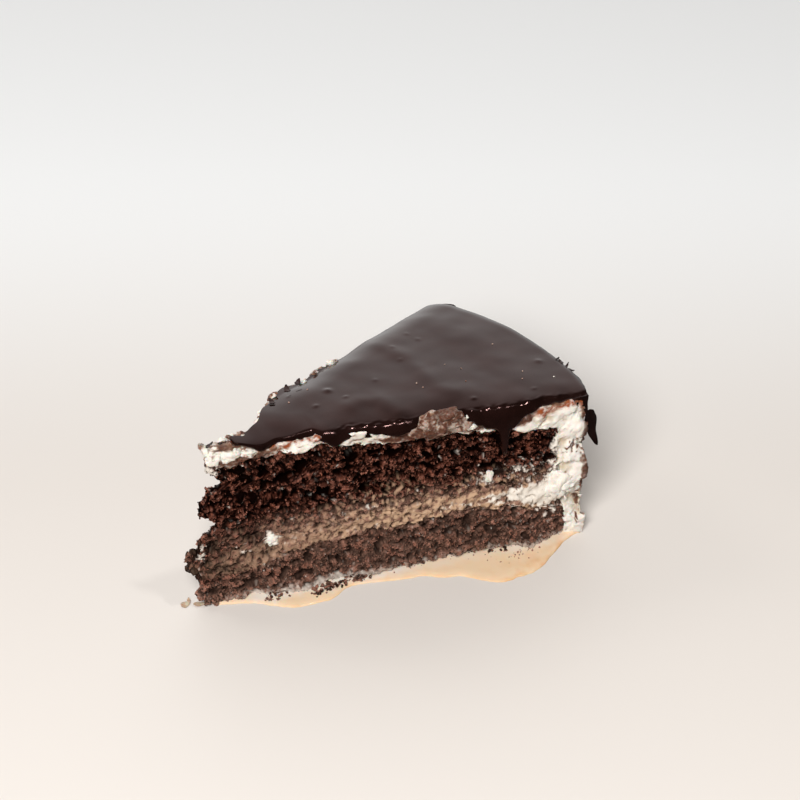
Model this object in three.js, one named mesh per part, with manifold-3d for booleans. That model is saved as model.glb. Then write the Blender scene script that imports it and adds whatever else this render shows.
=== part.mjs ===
// A slice of round chocolate layer cake: two sponges with a cream filling between them, a cream coat over the
// top and down the outer side, a poured glaze with drips, and a thin pool of milk along the front cut.
// Millimetres, +Z up. The cake's centre lies on -X and the outer side on +X. The front cut faces -Y and the
// back cut +Y. The origin is on the flat base, on the slice's middle line.
import * as THREE from "three";
import { mergeVertices } from "three/addons/utils/BufferGeometryUtils.js";
import Module from "manifold-3d";

const wasm = await Module();
wasm.setup();

// Driving dimensions. Radii are measured from the centre of the whole cake.
const HALF_ANGLE = THREE.MathUtils.degToRad(18); // the slice is a tenth of the cake
const CENTRE_TO_ORIGIN = 60;
const COAT_RADIUS = 122;
const TOP_SPONGE_RADIUS = 113;
const BOTTOM_SPONGE_RADIUS = 116.5;
const GAP = 0.3; // between neighbouring pieces
const SHOULDER = { front: 2.5, back: 8 }; // radius of the round between the top and the outer side
const BACK_FALL = { width: 9, drop: 2.6, corner: 1.6 }; // the top sinks along the back cut and at its corner
const [SINE, COSINE] = [Math.sin(HALF_ANGLE), Math.cos(HALF_ANGLE)];

// Heights of the layers against the distance from the cake's centre.
const BOTTOM_SPONGE_TOP = [[0, 9.5], [16, 10], [27, 12.8], [37, 14.6], [70, 14.5], [100, 13.4], [118, 12]];
const FILLING_TOP = [[0, 17.5], [12, 19], [22, 21], [38, 19.6], [58, 21.4], [70, 19.8], [90, 23], [113, 21.5]];
const TOP_SPONGE_TOP = [[0, 50.5], [30, 49.8], [44, 49.5], [54, 47.8], [68, 46.4], [88, 44], [113, 40]];
const CREAM_TOP = [[0, 57], [10, 55.6], [22, 53.4], [40, 52], [60, 51], [100, 49.8], [124, 48.6]];
const GLAZE_TOP = [[8, 57.4], [20, 56.3], [40, 55.2], [60, 54.3], [80, 53.6], [100, 52.4], [126, 50.8]];

// The tip is ragged: how far it stands from the cake's centre, against height.
const TIP_REACH = [
  [0, 2.4], [3, -0.6], [6.5, 0.8], [9.5, -0.2], [14, -3.6], [18, -3], [21, 0.6], [25, 3], [28.4, 6],
  [31.5, 1], [35, 0.6], [38, 2.6], [42, 4], [44.6, 9], [47, 7], [50, 3.4], [57, 2.8],
];
const TIP_WIDTH = 3.2;
// The back cut is bent at its top: how far it stands in from the straight cut, against X.
const BACK_DENT = [[0, 3], [8, 5], [15, 6.4], [22, 5.4], [30, 1.4], [42, -2.6], [50, -0.6], [57, -1.6], [70, 0]];

const CRAG = { size: 7, depth: 1.5 }; // the torn crumb of a sponge's cut
const DENT = { size: 9, depth: 0.8 }; // the smeared cream

// Swellings of the front cut: distance from the centre, height, half length, half height, how far out.
const SPONGE_SWELLS = [[31, 1, 9, 4, 3], [94, 6, 12, 5, 1.4]];
const CREAM_SWELLS = [[75, 49.5, 6, 3.6, 2.8], [115, 19, 3, 5, 1.6], [108, 45, 8, 4, 1]];

// Long torn crevices in the cut sponge: distance from the centre, height, half length, half height, depth.
const CREVICES = [
  [16, 44, 9, 1.9, 3.2], [34, 42, 6, 2.4, 2.6], [50, 43.5, 5, 2.2, 2.8], [22, 35, 8, 2, 2.4],
  [40, 33, 7, 2, 2.6], [73, 42, 9, 2, 2.6], [58, 31, 9, 1.8, 2], [86, 33, 8, 1.8, 2.2],
  [104, 36, 6, 2.6, 2.6], [5, 12.8, 4, 2.6, 4], [18, 13.4, 7, 1.2, 2.2], [45, 14.6, 16, 1.1, 1.8],
];

// Straight-sided tables read smoothly between their points.
function read(table, at) {
  const last = table.length - 1;
  if (at <= table[0][0]) return table[0][1];
  if (at >= table[last][0]) return table[last][1];
  const i = table.findIndex((row) => row[0] > at) - 1;
  const [x0, y0] = table[i];
  const [x1, y1] = table[i + 1];
  return y0 + (y1 - y0) * THREE.MathUtils.smoothstep(at, x0, x1);
}

function scramble(i, j, k) {
  const wave = Math.sin(i * 127.1 + j * 311.7 + k * 74.7) * 43758.5453;
  return wave - Math.floor(wave);
}

// Smooth noise from -1 to 1 over a square lattice.
function roughness(u, v, seed) {
  const [i, j] = [Math.floor(u), Math.floor(v)];
  const [s, t] = [THREE.MathUtils.smoothstep(u - i, 0, 1), THREE.MathUtils.smoothstep(v - j, 0, 1)];
  const low = THREE.MathUtils.lerp(scramble(i, j, seed), scramble(i + 1, j, seed), s);
  const high = THREE.MathUtils.lerp(scramble(i, j + 1, seed), scramble(i + 1, j + 1, seed), s);
  return THREE.MathUtils.lerp(low, high, t) * 2 - 1;
}

function lumps(u, v, seed, { size, depth }) {
  const broad = roughness(u / size, v / (size * 0.7), seed);
  const fine = roughness(u / (size * 0.45), v / (size * 0.4), seed + 5);
  return depth * (0.6 * broad + 0.5 * fine);
}

// How much of a list of swellings or crevices a place on a cut has.
function mounds(list, reach, z) {
  const share = ([r, h, halfLength, halfHeight, size]) =>
    size * Math.exp(-(((reach - r) / halfLength) ** 2) - ((z - h) / halfHeight) ** 2);
  return list.reduce((sum, mound) => sum + share(mound), 0);
}

// A cut face's relief, outwards. The front cut has seed 0. The back has its crevices the other way round.
function spongeCut(reach, z, seed) {
  const crags = lumps(reach, z, seed, CRAG);
  if (seed) return crags - mounds(CREVICES, COAT_RADIUS - reach, z);
  return crags + mounds(SPONGE_SWELLS, reach, z) - mounds(CREVICES, reach, z);
}

function creamCut(reach, z, seed) {
  return lumps(reach, z, seed + 20, DENT) + (seed ? 0 : mounds(CREAM_SWELLS, reach, z));
}

// The back cut's sideways place: straight at the base, dented at the top, never thinner than the tip.
function backCutAt(x, z) {
  const dent = read(BACK_DENT, x) * THREE.MathUtils.smoothstep(z, 6, 44);
  return Math.max((x * SINE) / COSINE - dent, (-x * SINE) / COSINE + TIP_WIDTH);
}

// Where a layer's point lies: along runs from the tip (0) to the outer side (1), across from the front cut (0)
// to the back cut (1). radius is the layer's own, cut gives the relief and grow widens the outline.
function place(along, across, z, { radius, cut, grow = 0, tip = TIP_REACH, outer = () => 0 }) {
  const reach = radius + grow;
  const x = THREE.MathUtils.lerp(read(tip, z) - grow, reach * COSINE, along);
  const front = new THREE.Vector2(x, (-x * SINE) / COSINE);
  const back = new THREE.Vector2(x, backCutAt(x, z));
  front.addScaledVector(new THREE.Vector2(-SINE, -COSINE), cut(x / COSINE, z, 0) + grow);
  back.addScaledVector(new THREE.Vector2(-SINE, COSINE), cut(x / COSINE, z, 40) + grow);
  const spot = front.lerp(back, across);
  const endY = (2 * across - 1) * reach * SINE;
  const bulge = Math.sqrt(reach * reach - endY * endY) - reach * COSINE;
  spot.x += bulge * along * along;
  spot.clampLength(0, reach);
  spot.x += outer(endY, z) * along ** 8;
  return spot;
}

const reachOf = (spot) => Math.hypot(spot.x, spot.y);

// How far the top falls: over the outer side's round, wider towards the back, and towards the back cut.
function fall(spot, radius) {
  const turn = Math.atan2(spot.y, spot.x) / HALF_ANGLE;
  const widening = THREE.MathUtils.smoothstep(turn, -0.8, 1);
  const shoulder = THREE.MathUtils.lerp(SHOULDER.front, SHOULDER.back, widening);
  const past = THREE.MathUtils.clamp((reachOf(spot) - radius) / shoulder + 1, 0, 1);
  const round = shoulder * (1 - Math.sqrt(1 - past * past * 0.96));
  const fromBack = spot.x * SINE - spot.y * COSINE;
  const near = 1 - THREE.MathUtils.clamp(fromBack / BACK_FALL.width, 0, 1);
  const back = BACK_FALL.drop * near * near * THREE.MathUtils.smoothstep(spot.x, 20, 60);
  const corner = THREE.MathUtils.smoothstep(spot.x, 50, 116) * THREE.MathUtils.smoothstep(spot.y, 5, 38);
  return round + back + BACK_FALL.corner * corner;
}

// A box of rows x columns x levels, bent by shift(along, across, up), each from 0 to 1.
function bentBox(segments, shift) {
  const geometry = new THREE.BoxGeometry(1, 1, 1, ...segments);
  const position = geometry.getAttribute("position");
  for (let i = 0; i < position.count; i++) {
    const shares = segments.map((count, axis) => {
      const step = (position.getComponent(i, axis) + 0.5) * count;
      return Math.round(step) / count;
    });
    position.setXYZ(i, ...shift(...shares));
  }
  return geometry;
}

// A layer follows the slice's outline between its bottom and top. The place depends on the height and the
// height on the place, so both settle in a few rounds.
function layer({ segments, bottom, top, ...shape }) {
  return bentBox(segments, (along, across, up) => {
    let z = 30;
    let spot = place(along, across, z, shape);
    for (let round = 0; round < 4; round++) {
      z = THREE.MathUtils.lerp(bottom(spot), top(spot), up);
      spot = place(along, across, z, shape);
    }
    return [spot.x, spot.y, z];
  });
}

// A block with a round outer side that reaches past both cuts and the tip.
function core(radius, bottom, top) {
  return solidOf(bentBox([42, 16, 1], (along, across, up) => {
    const y = THREE.MathUtils.lerp(-radius, radius, across) * 0.5;
    const x = THREE.MathUtils.lerp(-20, Math.sqrt(radius * radius - y * y), along);
    const spot = new THREE.Vector2(x, y);
    return [x, y, up ? top(spot) : bottom(spot)];
  }));
}

const swell = (spot) => 0.5 * Math.sin(spot.y / 9 + spot.x / 23);
const seam = (table, lift = 0) => (spot) => read(table, reachOf(spot)) + swell(spot) + lift;

function solidOf(geometry) {
  const bare = geometry.clone();
  bare.deleteAttribute("normal");
  bare.deleteAttribute("uv");
  const merged = mergeVertices(bare, 1e-4);
  const vertProperties = new Float32Array(merged.getAttribute("position").array);
  const faces = [];
  for (let i = 0; i < merged.index.count; i += 3) {
    const [a, b, c] = merged.index.array.slice(i, i + 3);
    if (a !== b && b !== c && c !== a) faces.push(a, b, c); // none at a pole
  }
  const triVerts = new Uint32Array(faces);
  return new wasm.Manifold(new wasm.Mesh({ numProp: 3, vertProperties, triVerts }));
}

const largestOf = (solid) => solid.decompose().sort((a, b) => b.volume() - a.volume())[0];

function geometryOf(solid) {
  const { vertProperties, triVerts } = solid.getMesh();
  const geometry = new THREE.BufferGeometry();
  geometry.setAttribute("position", new THREE.BufferAttribute(vertProperties, 3));
  geometry.setIndex(new THREE.BufferAttribute(triVerts, 1));
  geometry.computeVertexNormals();
  return geometry;
}

const floor = () => 0;

function bottomSponge() {
  return layer({
    segments: [42, 5, 5], radius: BOTTOM_SPONGE_RADIUS, cut: spongeCut,
    bottom: floor, top: seam(BOTTOM_SPONGE_TOP),
  });
}

function creamFilling() {
  return layer({
    segments: [42, 5, 3], radius: TOP_SPONGE_RADIUS, cut: creamCut,
    bottom: seam(BOTTOM_SPONGE_TOP, GAP), top: seam(FILLING_TOP),
  });
}

function topSponge() {
  return layer({
    segments: [42, 5, 11], radius: TOP_SPONGE_RADIUS, cut: spongeCut,
    bottom: seam(FILLING_TOP, GAP), top: seam(TOP_SPONGE_TOP),
  });
}

// The coat's outside, widened all round by grow.
const coatShape = (grow = 0) => ({
  segments: [40, 8, 12], radius: COAT_RADIUS, grow, cut: creamCut,
  outer: (round, z) => lumps(round, z, 60, DENT) * Math.min(1, z / 8),
  bottom: floor,
  top: (spot) => read(CREAM_TOP, reachOf(spot)) + 0.6 * swell(spot) - fall(spot, COAT_RADIUS + grow) + grow,
});

// The coat lies over the top and down the outer side, round the space that the sponges and filling fill.
function creamCoat() {
  const block = solidOf(layer(coatShape()));
  const lower = core(BOTTOM_SPONGE_RADIUS + GAP, () => -5, seam(BOTTOM_SPONGE_TOP, 2 * GAP));
  const upper = core(TOP_SPONGE_RADIUS + GAP, () => -4, seam(TOP_SPONGE_TOP, 2 * GAP));
  return geometryOf(block.subtract(lower).subtract(upper));
}

// The glaze hangs over each side down to its hem: height of the hem against the distance from the centre.
const FRONT_HEM = [
  [8, 56.4], [20, 53.6], [34, 52.8], [38, 49.6], [44, 49.4], [48, 51.2], [57, 51], [66, 48.2],
  [71, 51.5], [80, 52.2], [86, 46.5], [92, 43.4], [98, 44], [102, 48], [122, 50],
];
const BACK_HEM = [[8, 56], [40, 53.6], [60, 51], [92, 49], [122, 44]];
const OUTER_HEM = 42;
const GLAZE_TIP = [[0, 12]];
const GLAZE_RADIUS = COAT_RADIUS + 2;
const GLAZE_SKIN = { front: 2, back: 0.2 }; // over the front cut and outer side, and at the back cut
// Drips down the outer side: degrees round from the middle, height of the end, width of the bead.
const DRIPS = [[-16.2, 31, 6], [-10.5, 36, 5], [-4.8, 25, 6.4], [1.4, 34, 5.4], [6.6, 20, 6], [12.6, 30, 5]];
const CORNER_DRIP_DEPTH = 6; // the first stands proud at the front corner
const DRIP_DEPTH = 2.6;
const FRONT_DRIP = { reach: 95, end: 33, width: 3.6, depth: 2.4 };

// A drip is a round bead at the end of a neck that flares into the glaze, turned about its own length and
// flattened against the side it hangs on.
function drip([x, y], turn, width, endZ, depth) {
  const length = OUTER_HEM + 2 - endZ;
  const outline = [[0, 0], [0.32, 0.05], [0.5, 0.2], [0.48, 0.38]].map(([r, h]) => [r * width, h * width]);
  outline.push([0.36 * width, 0.5 * length], [0.38 * width, 0.8 * length]);
  outline.push([0.56 * width, length], [0, length]);
  const bead = new THREE.LatheGeometry(outline.map((point) => new THREE.Vector2(...point)), 10);
  bead.rotateX(Math.PI / 2).scale((2 * depth) / width, 1, 1);
  bead.rotateZ(turn).translate(x, y, endZ);
  return solidOf(bead);
}

const roundPlace = (radius, angle) => [radius * Math.cos(angle), radius * Math.sin(angle)];

function chocolateGlaze() {
  const hem = (spot) => {
    const reach = reachOf(spot);
    const side = read(spot.y < 0 ? FRONT_HEM : BACK_HEM, reach);
    return THREE.MathUtils.lerp(side, OUTER_HEM, THREE.MathUtils.smoothstep(reach, 114, 121));
  };
  let glaze = solidOf(layer({
    segments: [40, 8, 3], radius: COAT_RADIUS, grow: GLAZE_SKIN.front, tip: GLAZE_TIP, outer: coatShape().outer,
    cut: (reach, z, seed) => 0.5 * creamCut(reach, z, seed) + (seed ? GLAZE_SKIN.back - GLAZE_SKIN.front : 0),
    bottom: hem,
    top: (spot) => read(GLAZE_TOP, reachOf(spot)) + 0.25 * swell(spot) - fall(spot, GLAZE_RADIUS),
  }));
  DRIPS.forEach(([degrees, endZ, width], i) => {
    const angle = THREE.MathUtils.degToRad(degrees);
    const depth = i === 0 ? CORNER_DRIP_DEPTH : DRIP_DEPTH;
    glaze = glaze.add(drip(roundPlace(COAT_RADIUS, angle), angle, width, endZ, depth));
  });
  const { reach: dripReach, end, width, depth } = FRONT_DRIP;
  glaze = glaze.add(drip(roundPlace(dripReach, -HALF_ANGLE), -HALF_ANGLE - Math.PI / 2, width, end, depth));
  const block = solidOf(layer(coatShape(1.5 * GAP)));
  const sponge = solidOf(layer({
    segments: [42, 5, 11], radius: TOP_SPONGE_RADIUS, cut: spongeCut, grow: GAP,
    bottom: () => 15, top: seam(TOP_SPONGE_TOP, GAP),
  }));
  return geometryOf(largestOf(glaze.subtract(block).subtract(sponge)));
}

// The milk that has run out along the front cut: how far it reaches from the cut, against the distance from
// the centre.
const POOL_DEPTH = 1.2;
const POOL_SPREAD = [
  [4, 0.6], [10, 1.8], [28, 9.6], [36, 9.2], [46, 4.4], [66, 6.6], [76, 10], [90, 17.6], [98, 16], [121, 0.8],
];
const POOL_ENDS = [4, 121];

function milkPool() {
  const shore = new THREE.Shape();
  const steps = 60;
  const at = (reach, out) => new THREE.Vector2(
    reach * Math.cos(HALF_ANGLE) - out * Math.sin(HALF_ANGLE),
    -reach * Math.sin(HALF_ANGLE) - out * Math.cos(HALF_ANGLE),
  );
  const edge = [];
  for (let i = 0; i <= steps; i++) {
    const reach = THREE.MathUtils.lerp(...POOL_ENDS, i / steps);
    edge.push(at(reach, read(POOL_SPREAD, reach)));
  }
  edge.push(at(POOL_ENDS[1], -6), at(POOL_ENDS[0], -1));
  shore.setFromPoints(edge);
  const pool = solidOf(new THREE.ExtrudeGeometry(shore, { depth: POOL_DEPTH, bevelEnabled: false }));
  const sponge = solidOf(layer({
    segments: [42, 5, 5], radius: BOTTOM_SPONGE_RADIUS, cut: spongeCut, grow: GAP,
    bottom: () => -1, top: () => 6,
  }));
  const coat = solidOf(layer({ ...coatShape(GAP), bottom: () => -1 }));
  return geometryOf(largestOf(pool.subtract(sponge).subtract(coat)));
}

const sponge = new THREE.MeshStandardMaterial({ color: 0x3a221a, roughness: 0.9 });
const cream = new THREE.MeshStandardMaterial({ color: 0xe9e3d6, roughness: 0.6 });
const soakedCream = new THREE.MeshStandardMaterial({ color: 0xb39d82, roughness: 0.6 });
const glaze = new THREE.MeshStandardMaterial({ color: 0x1d0f0c, roughness: 0.2 });
const milk = new THREE.MeshStandardMaterial({ color: 0xe8cdb0, roughness: 0.3 });

const slice = new THREE.Group();
slice.name = "cake_slice";
const pieces = [
  ["sponge_bottom", bottomSponge(), sponge],
  ["cream_filling", creamFilling(), soakedCream],
  ["sponge_top", topSponge(), sponge],
  ["cream_coat", creamCoat(), cream],
  ["chocolate_glaze", chocolateGlaze(), glaze],
  ["milk_pool", milkPool(), milk],
];
for (const [name, geometry, material] of pieces) {
  const mesh = new THREE.Mesh(geometry, material);
  mesh.name = name;
  mesh.position.x = -CENTRE_TO_ORIGIN;
  slice.add(mesh);
}

export default slice;
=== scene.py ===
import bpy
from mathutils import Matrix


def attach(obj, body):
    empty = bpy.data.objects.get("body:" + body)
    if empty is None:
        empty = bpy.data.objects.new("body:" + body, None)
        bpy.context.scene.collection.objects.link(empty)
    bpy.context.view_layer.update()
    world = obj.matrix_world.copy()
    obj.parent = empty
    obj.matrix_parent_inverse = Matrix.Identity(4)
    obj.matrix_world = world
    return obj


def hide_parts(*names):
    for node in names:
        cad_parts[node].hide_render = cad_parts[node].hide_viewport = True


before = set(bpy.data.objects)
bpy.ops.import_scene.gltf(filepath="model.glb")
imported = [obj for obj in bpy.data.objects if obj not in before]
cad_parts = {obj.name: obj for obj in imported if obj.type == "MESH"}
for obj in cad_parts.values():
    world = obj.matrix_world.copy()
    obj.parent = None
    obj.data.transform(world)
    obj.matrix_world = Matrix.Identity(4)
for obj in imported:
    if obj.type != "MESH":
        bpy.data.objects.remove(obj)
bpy.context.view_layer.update()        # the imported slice: its nodes stay where they are

import math
import random

import bmesh
import bpy
from mathutils import Euler, Matrix, Vector, noise

# The slice is worked out in millimetres round the middle of the whole cake, and set down in metres.
# The front cut faces -Y and the back cut +Y. A reach is a distance from the middle of the cake.
cake = {
    "middle": -60.0,            # x of the whole cake's middle
    "halfAngle": math.radians(18),
    "coatRadius": 122.0,
    "topSpongeRadius": 113.0,
    "bottomSpongeRadius": 116.5,
    "tipWidth": 3.2,
}
sine, cosine = math.sin(cake["halfAngle"]), math.cos(cake["halfAngle"])
tangent = sine / cosine

# Height of each layer's top against the reach.
heights = {
    "bottomSponge": [
        (0, 9.5), (16, 10), (27, 12.8), (37, 14.6), (56, 15.6), (70, 15), (82, 16), (96, 15), (106, 11.8), (118, 12),
    ],
    "filling": [(0, 17.5), (12, 19), (22, 21), (38, 19.6), (58, 21.4), (70, 19.8), (90, 23), (113, 21.5)],
    "topSponge": [
        (0, 50.5), (8, 49.2), (15, 50.2), (20, 49), (26, 50), (32, 49.8), (38, 50.4), (44, 48.8),
        (54, 46.6), (68, 45.8), (88, 44), (113, 40),
    ],
    "cream": [(0, 57), (10, 55.6), (20, 53.4), (30, 53.2), (40, 53), (60, 51.4), (100, 49.8), (124, 48.6)],
    "glaze": [(8, 57.4), (20, 56.3), (40, 55.2), (60, 54.3), (80, 53.6), (100, 52.4), (126, 50.8)],
}
# How far the ragged tip stands from the middle, against height, and how far the back cut is dented, against x.
tipReach = [
    (0, 2.4), (3, -0.6), (6.5, 0.8), (9.5, -0.2), (14, -3.6), (18, -3), (21, 0.6), (25, 3), (28.4, 6),
    (31.5, 1), (35, 0.6), (37.6, 2.6), (40.4, 4.6), (42.6, 8.6), (45, 5.8), (48, 3.6), (57, 2.8),
]
backDent = [(0, 3), (8, 5), (15, 6.4), (22, 5.4), (30, 1.4), (42, -2.6), (50, -0.6), (57, -1.6), (70, 0)]
shoulder = {"front": 2.5, "back": 8.0}
backFall = {"width": 9.0, "drop": 2.6, "corner": 1.6}


def ease(share):
    share = min(1.0, max(0.0, share))
    return share * share * (3 - 2 * share)


def mix(low, high, share):
    return low + (high - low) * share


def read(table, at):
    if at <= table[0][0]:
        return table[0][1]
    for (x0, y0), (x1, y1) in zip(table, table[1:]):
        if at < x1:
            return y0 + (y1 - y0) * ease((at - x0) / (x1 - x0))
    return table[-1][1]


def mounds(rows, reach, z):        # rows of reach, height, half length, half height and size
    total = 0.0
    for r, h, halfLength, halfHeight, size in rows:
        away = ((reach - r) / halfLength) ** 2 + ((z - h) / halfHeight) ** 2
        if away < 7:
            total += size * math.exp(-away)
    return total


def wave(x, y, z, size, seed=0.0):        # smooth noise from -1 to 1 with lumps of about this size
    return noise.noise((x / size + seed, y / size - seed, z / size + 2 * seed))


# --- camera, floor and light ---
view = {
    "azimuth": -37.0,      # degrees round from the front of the slice
    "height": 33.0,        # degrees above the table
    "distance": 1.11475,
    "aim": (0.0557, 0.0555, 0.0),
    "lens": 153.0,
}
studio = {
    # The floor is darker and warmer near the slice, as the plate's tone and painted shade, and lighter far off, as
    # painted light making up for the lamps' falloff.
    "floorNearPlateAndShade": (0.70, 0.645, 0.595),
    "floorFarPaintedLight": (0.92, 0.915, 0.905),
    "floorWay": (0.60, 0.80, 0.0),         # the floor changes from near to far along this
    "brightWay": (0.30, 0.88, 0.37),       # where the sky is brightest: low behind the slice
    "sky": (0.05, 1.00),                   # from its dimmest to its brightest
    "lamps": {                             # way to each, power, size, and whether a gloss mirrors it
        "key": ((-0.45, 0.80, 0.75), 1.6, 0.42, True),
        "fill": ((-0.70, -0.60, 0.85), 20.0, 0.55, False),
        "glint": ((0.16, -0.32, 0.93), 2.2, 0.10, True),
    },
    "lampDistance": 1.3,
}


# A value that grows along a way, from start to end, while the output's share of the way goes from low to high.
def gradient(tree, output, way, low, high, start, end):
    along = tree.nodes.new("ShaderNodeVectorMath")
    along.operation = "DOT_PRODUCT"
    along.inputs[1].default_value = Vector(way).normalized()
    level = tree.nodes.new("ShaderNodeMapRange")
    level.interpolation_type = "SMOOTHSTEP"
    for name, number in (("From Min", low), ("From Max", high), ("To Min", start), ("To Max", end)):
        level.inputs[name].default_value = number
    tree.links.new(output, along.inputs[0])
    tree.links.new(along.outputs["Value"], level.inputs["Value"])
    return level.outputs["Result"]


def makeCamera():
    data = bpy.data.cameras.new("camera")
    data.lens = view["lens"]
    data.clip_start = 0.05
    thing = bpy.data.objects.new("camera", data)
    bpy.context.scene.collection.objects.link(thing)
    turn, tilt = math.radians(view["azimuth"]), math.radians(view["height"])
    back = Vector((math.sin(turn) * math.cos(tilt), -math.cos(turn) * math.cos(tilt), math.sin(tilt)))
    thing.location = Vector(view["aim"]) + back * view["distance"]
    thing.rotation_euler = back.to_track_quat("Z", "Y").to_euler()
    bpy.context.scene.camera = thing


def makeStage():
    bm = bmesh.new()
    bmesh.ops.create_grid(bm, x_segments=1, y_segments=1, size=4.0)
    mesh = bpy.data.meshes.new("floor")
    bm.to_mesh(mesh)
    bm.free()
    floor = bpy.data.objects.new("floor", mesh)
    bpy.context.scene.collection.objects.link(floor)
    material = bpy.data.materials.new("floor")
    material.use_nodes = True
    tree = material.node_tree
    where = tree.nodes.new("ShaderNodeTexCoord")
    # painted shade near the slice and painted light far off, over the plate's warmer tone
    far = gradient(tree, where.outputs["Object"], studio["floorWay"], 0.02, 0.24, 0.0, 1.0)
    colour = tree.nodes.new("ShaderNodeMix")
    colour.data_type = "RGBA"
    colour.inputs[6].default_value = (*studio["floorNearPlateAndShade"], 1)
    colour.inputs[7].default_value = (*studio["floorFarPaintedLight"], 1)
    shader = tree.nodes["Principled BSDF"]
    shader.inputs["Roughness"].default_value = 0.5
    tree.links.new(far, colour.inputs[0])
    tree.links.new(colour.outputs[2], shader.inputs["Base Color"])
    mesh.materials.append(material)
    floor.visible_glossy = False           # keeps the glaze's lip dark

    world = bpy.data.worlds.new("studio")
    bpy.context.scene.world = world
    world.use_nodes = True
    tree = world.node_tree
    where = tree.nodes.new("ShaderNodeTexCoord")
    level = gradient(tree, where.outputs["Generated"], studio["brightWay"], 0.45, 0.95, *studio["sky"])
    tree.links.new(level, tree.nodes["Background"].inputs["Strength"])
    tree.nodes["Background"].inputs["Color"].default_value = (1, 0.995, 0.985, 1)

    for name, (way, power, size, mirrored) in studio["lamps"].items():
        data = bpy.data.lights.new(name, "AREA")
        data.shape = "DISK"
        data.size = size
        data.energy = power
        lamp = bpy.data.objects.new(name, data)
        bpy.context.scene.collection.objects.link(lamp)
        way = Vector(way).normalized()
        lamp.location = way * studio["lampDistance"]
        lamp.rotation_euler = way.to_track_quat("Z", "Y").to_euler()
        lamp.visible_glossy = mirrored
    bpy.context.scene.view_settings.view_transform = "Standard"


makeCamera()
makeStage()
print("camera and stage are up")


# --- the slice's outline ---
def backCutAt(x, z):
    dent = read(backDent, x) * ease((z - 6) / 38)
    return max(x * tangent - dent, cake["tipWidth"] - x * tangent)


def place(along, across, z, radius, frontCut, backCut, tip=tipReach, outer=None):
    x = mix(read(tip, z), radius * cosine, along)
    out = frontCut(x / cosine, z)
    frontX, frontY = x - sine * out, -x * tangent - cosine * out
    out = backCut(x / cosine, z)
    backX, backY = x - sine * out, backCutAt(x, z) + cosine * out
    endY = (2 * across - 1) * radius * sine
    bulge = math.sqrt(radius * radius - endY * endY) - radius * cosine
    x, y = mix(frontX, backX, across) + bulge * along * along, mix(frontY, backY, across)
    far = math.hypot(x, y)
    if far > radius:
        x, y = x * radius / far, y * radius / far
    if outer:
        x += outer(endY, z) * along ** 8
    return x, y


def fall(x, y, radius):        # how far the top sinks over the outer side's round and along the back cut
    turn = math.atan2(y, x) / cake["halfAngle"]
    wide = mix(shoulder["front"], shoulder["back"], ease((turn + 0.8) / 1.8))
    past = min(1.0, max(0.0, (math.hypot(x, y) - radius) / wide + 1))
    drop = wide * (1 - math.sqrt(1 - past * past * 0.96))
    near = 1 - min(1.0, max(0.0, (x * sine - y * cosine) / backFall["width"]))
    drop += backFall["drop"] * near * near * ease((x - 20) / 40)
    return drop + backFall["corner"] * ease((x - 50) / 66) * ease((y - 5) / 33)


def swell(x, y):
    return 0.5 * math.sin(y / 9 + x / 23)


def seam(name, lift=0.0, torn=1.0):          # where two layers meet, torn at two scales
    table = heights[name]
    seed = len(name)

    def height(x, y):
        rough = 0.8 * wave(x, y, 0, 4.2, seed) + 0.5 * wave(x, y, 0, 1.7, seed)
        return read(table, math.hypot(x, y)) + swell(x, y) + torn * rough + lift
    return height


# A box of grids whose corners run from 0 to 1: along, across and up.
def boxShell(alongSteps, acrossSteps, upSteps):
    bm = bmesh.new()
    sides = (
        (alongSteps, acrossSteps, Matrix.Identity(4)),
        (alongSteps, upSteps, Matrix.Rotation(math.pi / 2, 4, "X")),
        (upSteps, acrossSteps, Matrix.Rotation(-math.pi / 2, 4, "Y")),
    )
    centre = Matrix.Translation((0.5, 0.5, 0.5))
    for xSteps, ySteps, turn in sides:
        for lift in (-0.5, 0.5):
            put = centre @ turn @ Matrix.Translation((0, 0, lift))
            bmesh.ops.create_grid(bm, x_segments=xSteps, y_segments=ySteps, size=0.5, matrix=put)
    bmesh.ops.remove_doubles(bm, verts=bm.verts, dist=0.0002)
    bmesh.ops.recalc_face_normals(bm, faces=bm.faces)
    return bm


def shapeLayer(bm, bottom, top, **outline):
    for v in bm.verts:
        along, across, up = v.co
        z = 30.0
        for settle in range(3):
            x, y = place(along, across, z, **outline)
            z = mix(bottom(x, y), top(x, y), up)
        x, y = place(along, across, z, **outline)
        v.co = (x, y, z)
    bm.normal_update()


def soften(bm, rounds):
    for turn in range(rounds):
        bmesh.ops.smooth_vert(bm, verts=bm.verts, factor=0.5, use_axis_x=True, use_axis_y=True, use_axis_z=True)
    bm.normal_update()


def pushOut(bm, layer, reliefOf):      # moves each point along its normal and paints its shares
    moved = []
    for v in bm.verts:
        height, shares = reliefOf(v)
        v[layer] = shares
        moved.append(v.co + v.normal * height)
    for v, spot in zip(bm.verts, moved):
        v.co = (spot.x, spot.y, max(0.0, spot.z))
    bm.normal_update()


def setDown(bm, name, material, nodes, smooth=True):
    bmesh.ops.translate(bm, verts=bm.verts, vec=(cake["middle"], 0, 0))
    bmesh.ops.scale(bm, verts=bm.verts, vec=(0.001, 0.001, 0.001))
    for face in bm.faces:
        face.smooth = smooth
    mesh = bpy.data.meshes.new(name)
    bm.to_mesh(mesh)
    bm.free()
    piece = bpy.data.objects.new(name, mesh)
    bpy.context.scene.collection.objects.link(piece)
    mesh.materials.append(material)
    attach(piece, "root")
    if nodes:
        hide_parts(*nodes)
    print(name, "has", len(mesh.polygons), "faces")
    return piece


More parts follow.
